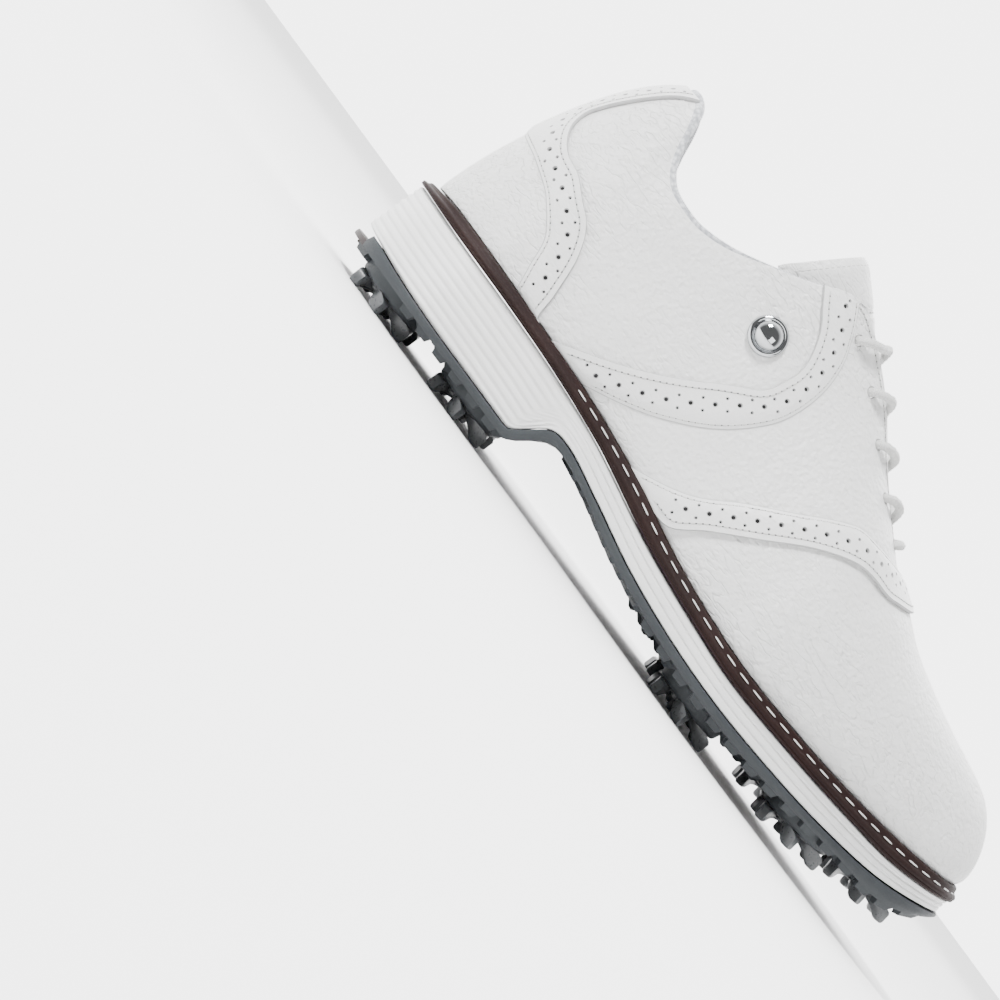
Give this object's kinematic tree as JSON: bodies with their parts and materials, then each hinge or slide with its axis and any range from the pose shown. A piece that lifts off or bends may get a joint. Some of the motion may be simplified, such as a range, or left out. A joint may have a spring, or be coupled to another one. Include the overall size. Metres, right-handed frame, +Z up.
{
  "type": "golf shoe",
  "caption": "Right-foot lace-up saddle golf shoe: white leather upper with perforated bands, stitched brown welt, ribbed midsole, lugged sole and twist-out soft spikes.",
  "frame": {"origin": "on the ground under the middle of the sole, the shoe standing on its six level spikes", "axes": "+X towards the toe, +Y towards the inner (medial) side of the right foot, +Z up"},
  "size_m": [0.303, 0.1147, 0.1429],
  "materials": {
    "leather_white": "smooth white full-grain leather, light pebble",
    "leather_band": "perforated white leather, brogue holes and edge stitching",
    "lining_fabric": "light grey knitted lining",
    "midsole_white": "white moulded EVA, fine ribs",
    "welt_brown": "dark brown stitched storm welt",
    "outsole_rubber": "blue-grey moulded TPU with lugs",
    "insert_brown": "dark brown moulded TPU",
    "spike_plastic": "grey moulded polyurethane",
    "socket_plastic": "black glass-filled nylon",
    "board": "fibre board",
    "shank_steel": "spring steel strip",
    "stiffener": "thermoplastic sheet",
    "lace_fabric": "round braided white lace",
    "chrome": "polished chrome"
  },
  "bodies": {
    "shoe": {"outsole": "outsole_rubber", "forefoot_insert": "insert_brown", "heel_insert": "insert_brown", "waist_plate": "insert_brown", "midsole": "midsole_white", "shank": "shank_steel", "welt": "welt_brown", "insole_board": "board", "sockliner": "lining_fabric", "vamp": "leather_white", "heel_counter": "leather_white", "saddle_lateral": "leather_white", "quarter_lateral": "leather_white", "saddle_medial": "leather_white", "quarter_medial": "leather_white", "front_band": "leather_band", "heel_band": "leather_band", "rear_band_lateral": "leather_band", "rear_band_medial": "leather_band", "toe_puff": "stiffener", "heel_stiffener": "stiffener", "collar_lining": "lining_fabric", "vamp_lining": "lining_fabric", "tongue": "leather_white", "lace": "lace_fabric", "badge_plate": "chrome", "badge_dome": "chrome", "socket_heel_rear_medial": "socket_plastic", "socket_heel_rear_lateral": "socket_plastic", "socket_heel_front_medial": "socket_plastic", "socket_heel_front_lateral": "socket_plastic", "socket_ball_rear_medial": "socket_plastic", "socket_ball_rear_lateral": "socket_plastic", "socket_ball_front_medial": "socket_plastic", "socket_ball_front_lateral": "socket_plastic", "socket_toe": "socket_plastic"},
    "spike_heel_rear_medial": {"spike_heel_rear_medial": "spike_plastic"},
    "spike_heel_rear_lateral": {"spike_heel_rear_lateral": "spike_plastic"},
    "spike_heel_front_medial": {"spike_heel_front_medial": "spike_plastic"},
    "spike_heel_front_lateral": {"spike_heel_front_lateral": "spike_plastic"},
    "spike_ball_rear_medial": {"spike_ball_rear_medial": "spike_plastic"},
    "spike_ball_rear_lateral": {"spike_ball_rear_lateral": "spike_plastic"},
    "spike_ball_front_medial": {"spike_ball_front_medial": "spike_plastic"},
    "spike_ball_front_lateral": {"spike_ball_front_lateral": "spike_plastic"},
    "spike_toe": {"spike_toe": "spike_plastic"}
  },
  "joints": [
    {"name": "heel_rear_medial_twist", "type": "hinge", "parent": "shoe", "child": "spike_heel_rear_medial", "pos_m": [-0.1245, 0.0197, 0.0098], "axis": [0, 0, 1], "range_deg": [0, 60]},
    {"name": "heel_rear_lateral_twist", "type": "hinge", "parent": "shoe", "child": "spike_heel_rear_lateral", "pos_m": [-0.1245, -0.0222, 0.0098], "axis": [0, 0, 1], "range_deg": [0, 60]},
    {"name": "heel_front_medial_twist", "type": "hinge", "parent": "shoe", "child": "spike_heel_front_medial", "pos_m": [-0.0805, 0.0212, 0.0098], "axis": [0, 0, 1], "range_deg": [0, 60]},
    {"name": "heel_front_lateral_twist", "type": "hinge", "parent": "shoe", "child": "spike_heel_front_lateral", "pos_m": [-0.0815, -0.0245, 0.0098], "axis": [0, 0, 1], "range_deg": [0, 60]},
    {"name": "ball_rear_medial_twist", "type": "hinge", "parent": "shoe", "child": "spike_ball_rear_medial", "pos_m": [0.0417, 0.0372, 0.0098], "axis": [0, 0, 1], "range_deg": [0, 60]},
    {"name": "ball_rear_lateral_twist", "type": "hinge", "parent": "shoe", "child": "spike_ball_rear_lateral", "pos_m": [0.0412, -0.031, 0.0098], "axis": [0, 0, 1], "range_deg": [0, 60]},
    {"name": "ball_front_medial_twist", "type": "hinge", "parent": "shoe", "child": "spike_ball_front_medial", "pos_m": [0.0898, 0.0385, 0.01381], "axis": [-0.1616, 0, 0.9869], "range_deg": [0, 60]},
    {"name": "ball_front_lateral_twist", "type": "hinge", "parent": "shoe", "child": "spike_ball_front_lateral", "pos_m": [0.0942, -0.0245, 0.01448], "axis": [-0.1572, 0, 0.9876], "range_deg": [0, 60]},
    {"name": "toe_twist", "type": "hinge", "parent": "shoe", "child": "spike_toe", "pos_m": [0.1282, 0.0115, 0.02074], "axis": [-0.1979, 0, 0.9802], "range_deg": [0, 60]}
  ]
}
